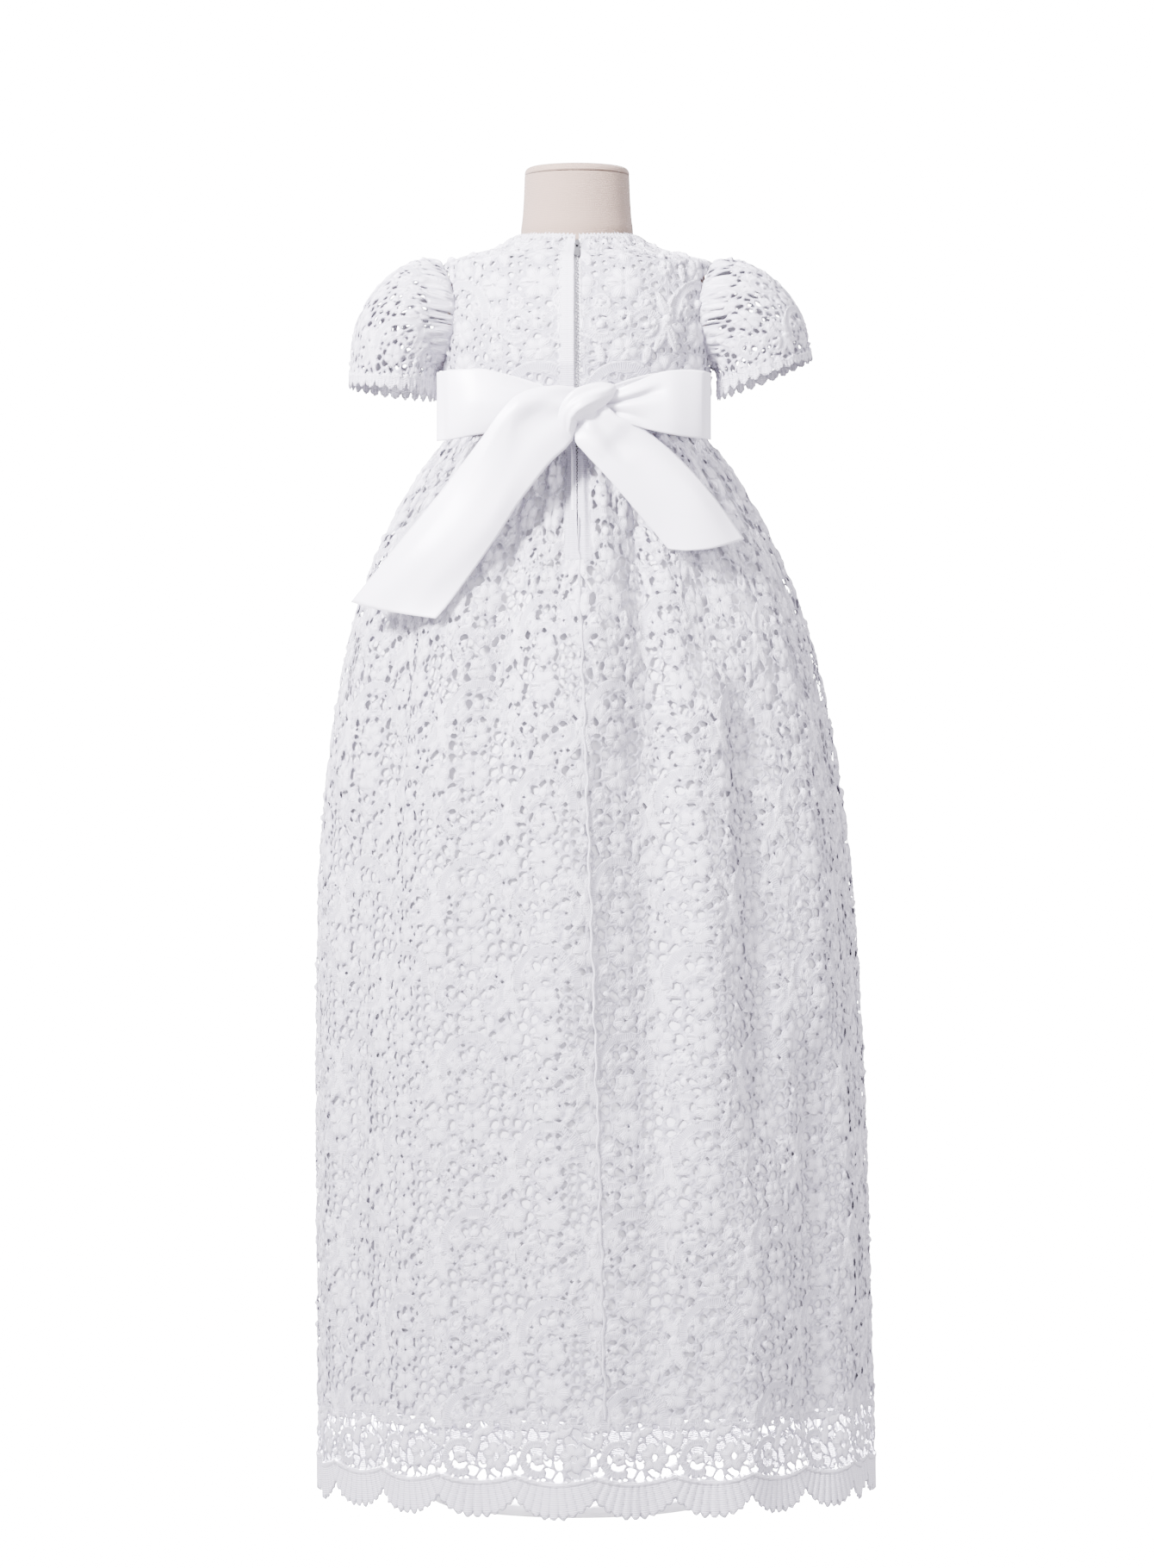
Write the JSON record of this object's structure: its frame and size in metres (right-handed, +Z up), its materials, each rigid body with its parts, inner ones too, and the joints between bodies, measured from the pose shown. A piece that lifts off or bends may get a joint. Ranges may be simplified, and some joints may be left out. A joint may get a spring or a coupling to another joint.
{
  "type": "christening gown on dress form",
  "caption": "Long white lace christening gown with puff sleeves, back zip and satin sash tied in a bow, on a limbless infant dress form.",
  "frame": {"origin": "centre of the dress form's base, on the floor", "axes": "+Z up along the pole; -Y is the gown's back, with the zip and the bow; +X is to the right of a person who looks at the back"},
  "size_m": [0.4017, 0.2873, 0.956],
  "materials": {
    "white_guipure_lace": "matt corded lace",
    "white_lining": "smooth plain weave",
    "white_satin": "satin",
    "natural_linen": "plain linen weave",
    "nickel": "nickel plate",
    "white_zip": "matt coil",
    "white_painted_metal": "satin paint"
  },
  "bodies": {
    "gown_on_form": {"form_torso": "natural_linen", "form_neck_cap": "natural_linen", "form_pole": "white_painted_metal", "form_base": "white_painted_metal", "bodice_front": "white_guipure_lace", "bodice_back_left": "white_guipure_lace", "bodice_back_right": "white_guipure_lace", "sleeve_left_back": "white_guipure_lace", "sleeve_left_front": "white_guipure_lace", "sleeve_right_back": "white_guipure_lace", "sleeve_right_front": "white_guipure_lace", "skirt_front": "white_guipure_lace", "skirt_back_left": "white_guipure_lace", "skirt_back_right": "white_guipure_lace", "border_front": "white_guipure_lace", "border_back": "white_guipure_lace", "lining_front_left": "white_lining", "lining_front_right": "white_lining", "lining_back_left": "white_lining", "lining_back_right": "white_lining", "sash": "white_satin", "bow_loop_left": "white_satin", "bow_loop_right": "white_satin", "bow_tail_left": "white_satin", "bow_tail_right": "white_satin", "bow_knot": "white_satin", "zip_chain": "white_zip", "zip_slider": "nickel"},
    "pull_tab": {"zip_pull": "nickel"}
  },
  "joints": [
    {"name": "zip_pull_hinge", "type": "hinge", "parent": "gown_on_form", "child": "pull_tab", "pos_m": [0, -0.04534, 0.89575], "axis": [-1, 0, 0], "range_deg": [0, 165]}
  ]
}
